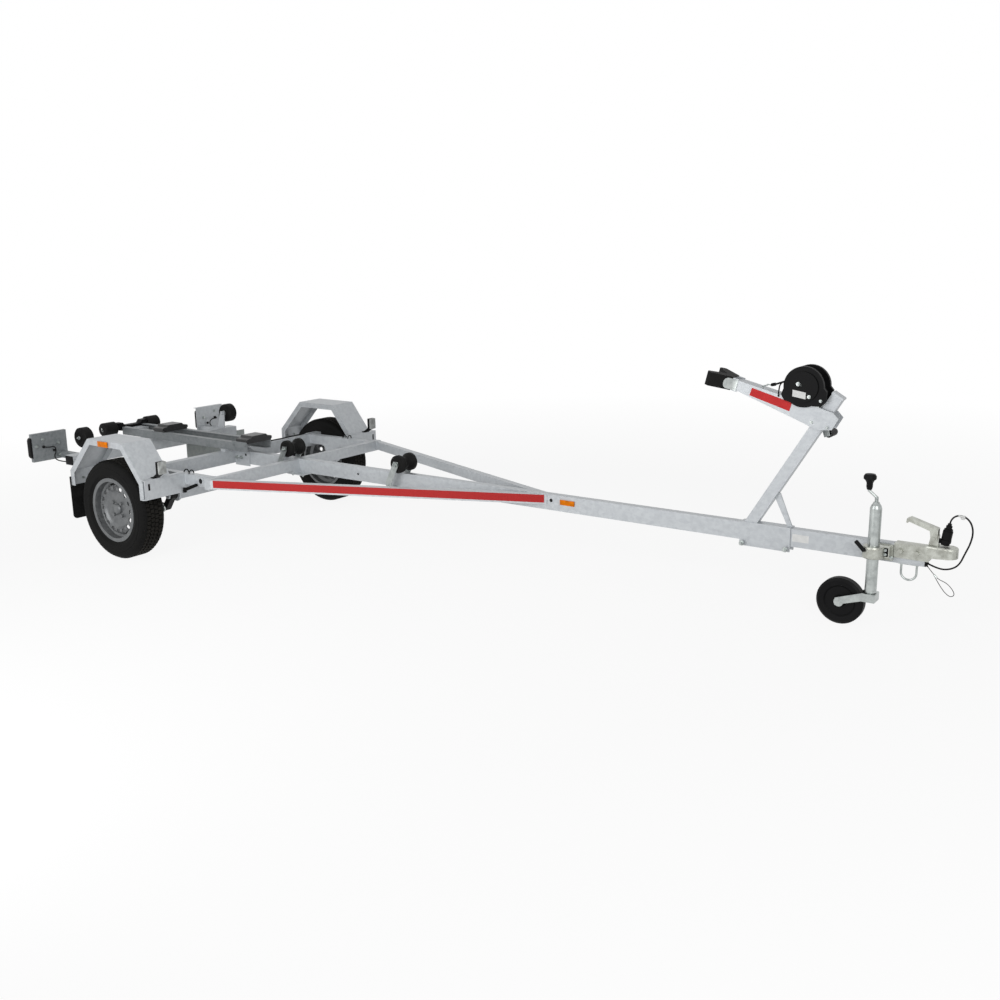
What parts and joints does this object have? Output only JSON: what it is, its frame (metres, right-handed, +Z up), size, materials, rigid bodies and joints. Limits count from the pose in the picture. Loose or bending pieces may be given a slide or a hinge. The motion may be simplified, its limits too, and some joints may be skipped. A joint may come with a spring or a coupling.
{
  "type": "boat trailer",
  "caption": "Galvanised single-axle boat trailer: V-frame on a central drawbar, keel and side rollers, leaning winch post, ball coupling and jockey wheel.",
  "frame": {"origin": "on the floor, under the middle of the trailer without its cable and wire loop", "axes": "+X forward to the coupling, +Y to the trailer's left, +Z up"},
  "size_m": [5.3895, 1.86, 1.0777],
  "materials": {
    "galvanised": "hot-dip galvanised steel, dull grey with a faint spangle",
    "zinc": "bright zinc plate, slightly brushed",
    "wheel_silver": "silver painted steel",
    "tyre": "black tyre rubber",
    "black_rubber": "black moulded rubber, dull",
    "black_plastic": "black moulded plastic",
    "black_steel": "black painted steel",
    "lamp_lens": "clear lamp lens on a black base",
    "plate_blank": "bare grey board, blank"
  },
  "bodies": {
    "frame": {"axle_beam": "galvanised", "bow_stop": "black_rubber", "breakaway_sleeve": "zinc", "breakaway_wire": "zinc", "cable_outlet": "black_plastic", "coupling_body": "zinc", "drawbar": "galvanised", "electric_cable": "black_plastic", "front_crossmember": "galvanised", "front_keel_pad": "black_plastic", "front_keel_roller_bracket": "zinc", "jockey_clamp": "zinc", "jockey_outer_tube": "zinc", "left_axle_arm": "black_steel", "left_fender": "galvanised", "left_frame_arm": "galvanised", "left_keel_channel": "galvanised", "left_lamp_plate": "galvanised", "left_marker_lamp": "lamp_lens", "left_mudflap": "black_plastic", "left_tail_lamp": "black_plastic", "middle_crossmember": "galvanised", "number_plate_board": "plate_blank", "plug": "black_plastic", "plug_holder": "black_plastic", "rear_keel_pad": "black_plastic", "rear_keel_roller_bracket": "zinc", "right_axle_arm": "black_steel", "right_fender": "galvanised", "right_frame_arm": "galvanised", "right_keel_channel": "galvanised", "right_lamp_plate": "galvanised", "right_marker_lamp": "lamp_lens", "right_mudflap": "black_plastic", "right_tail_lamp": "black_plastic", "rocker_hanger": "galvanised", "safety_ring": "zinc", "tail_crossmember": "galvanised", "winch_arm": "galvanised", "winch_cover": "black_plastic", "winch_frame": "zinc", "winch_post": "galvanised"},
    "right_road_wheel": {"right_tyre": "tyre", "right_wheel": "wheel_silver"},
    "left_road_wheel": {"left_tyre": "tyre", "left_wheel": "wheel_silver"},
    "right_side_roller": {"right_side_roller": "black_rubber"},
    "left_side_roller": {"left_side_roller": "black_rubber"},
    "tail_rocker": {"rocker_cradle": "black_plastic"},
    "right_tail_roller": {"right_tail_roller": "black_rubber"},
    "left_tail_roller": {"left_tail_roller": "black_rubber"},
    "rear_keel_roller": {"rear_keel_roller": "black_rubber"},
    "front_keel_roller": {"front_keel_roller": "black_rubber"},
    "winch_drum": {"winch_drum": "zinc", "winch_crank": "zinc"},
    "coupling_lever": {"coupling_lever": "zinc"},
    "jockey_leg": {"jockey_inner_tube": "zinc"},
    "jockey_fork": {"jockey_fork": "zinc"},
    "jockey_wheel": {"jockey_wheel": "black_rubber"},
    "jockey_crank": {"jockey_crank": "zinc"}
  },
  "joints": [
    {"name": "right_wheel_spin", "type": "hinge", "parent": "frame", "child": "right_road_wheel", "pos_m": [-1.6034, -0.834, 0.283], "axis": [0, 1, 0], "continuous": true},
    {"name": "left_wheel_spin", "type": "hinge", "parent": "frame", "child": "left_road_wheel", "pos_m": [-1.6034, 0.834, 0.283], "axis": [0, 1, 0], "continuous": true},
    {"name": "right_side_roller_spin", "type": "hinge", "parent": "frame", "child": "right_side_roller", "pos_m": [-2.32019, -0.555, 0.60294], "axis": [0, 1, 0], "continuous": true},
    {"name": "left_side_roller_spin", "type": "hinge", "parent": "frame", "child": "left_side_roller", "pos_m": [-2.32019, 0.588, 0.60294], "axis": [0, 1, 0], "continuous": true},
    {"name": "tail_rocker_tilt", "type": "hinge", "parent": "frame", "child": "tail_rocker", "pos_m": [-2.62498, 0, 0.55402], "axis": [0.9995, 0, -0.0332], "range_deg": [-10, 10]},
    {"name": "right_tail_roller_spin", "type": "hinge", "parent": "tail_rocker", "child": "right_tail_roller", "pos_m": [-2.62415, -0.168, 0.57901], "axis": [0, 1, 0], "continuous": true},
    {"name": "left_tail_roller_spin", "type": "hinge", "parent": "tail_rocker", "child": "left_tail_roller", "pos_m": [-2.62415, 0.168, 0.57901], "axis": [0, 1, 0], "continuous": true},
    {"name": "rear_keel_roller_spin", "type": "hinge", "parent": "frame", "child": "rear_keel_roller", "pos_m": [-1.07497, 0, 0.52861], "axis": [0, 1, 0], "continuous": true},
    {"name": "front_keel_roller_spin", "type": "hinge", "parent": "frame", "child": "front_keel_roller", "pos_m": [-0.21651, 0, 0.49814], "axis": [0, 1, 0], "continuous": true},
    {"name": "winch_spin", "type": "hinge", "parent": "frame", "child": "winch_drum", "pos_m": [2.0223, 0, 0.99818], "axis": [0, 1, 0], "continuous": true},
    {"name": "coupling_lever_close", "type": "hinge", "parent": "frame", "child": "coupling_lever", "pos_m": [2.5745, 0, 0.39154], "axis": [0, 1, 0], "range_deg": [-26, 0]},
    {"name": "jockey_extend", "type": "slide", "parent": "frame", "child": "jockey_leg", "axis": [-0.0332, 0, -0.9995], "range_m": [0, 0.17]},
    {"name": "jockey_swivel", "type": "hinge", "parent": "jockey_leg", "child": "jockey_fork", "pos_m": [2.34666, -0.075, 0.12895], "axis": [0.0332, 0, 0.9995], "continuous": true},
    {"name": "jockey_wheel_spin", "type": "hinge", "parent": "jockey_fork", "child": "jockey_wheel", "pos_m": [2.22564, -0.075, 0.1], "axis": [0, 1, 0], "continuous": true},
    {"name": "jockey_crank_turn", "type": "hinge", "parent": "frame", "child": "jockey_crank", "pos_m": [2.3596, -0.075, 0.51874], "axis": [0.0332, 0, 0.9995], "continuous": true}
  ]
}
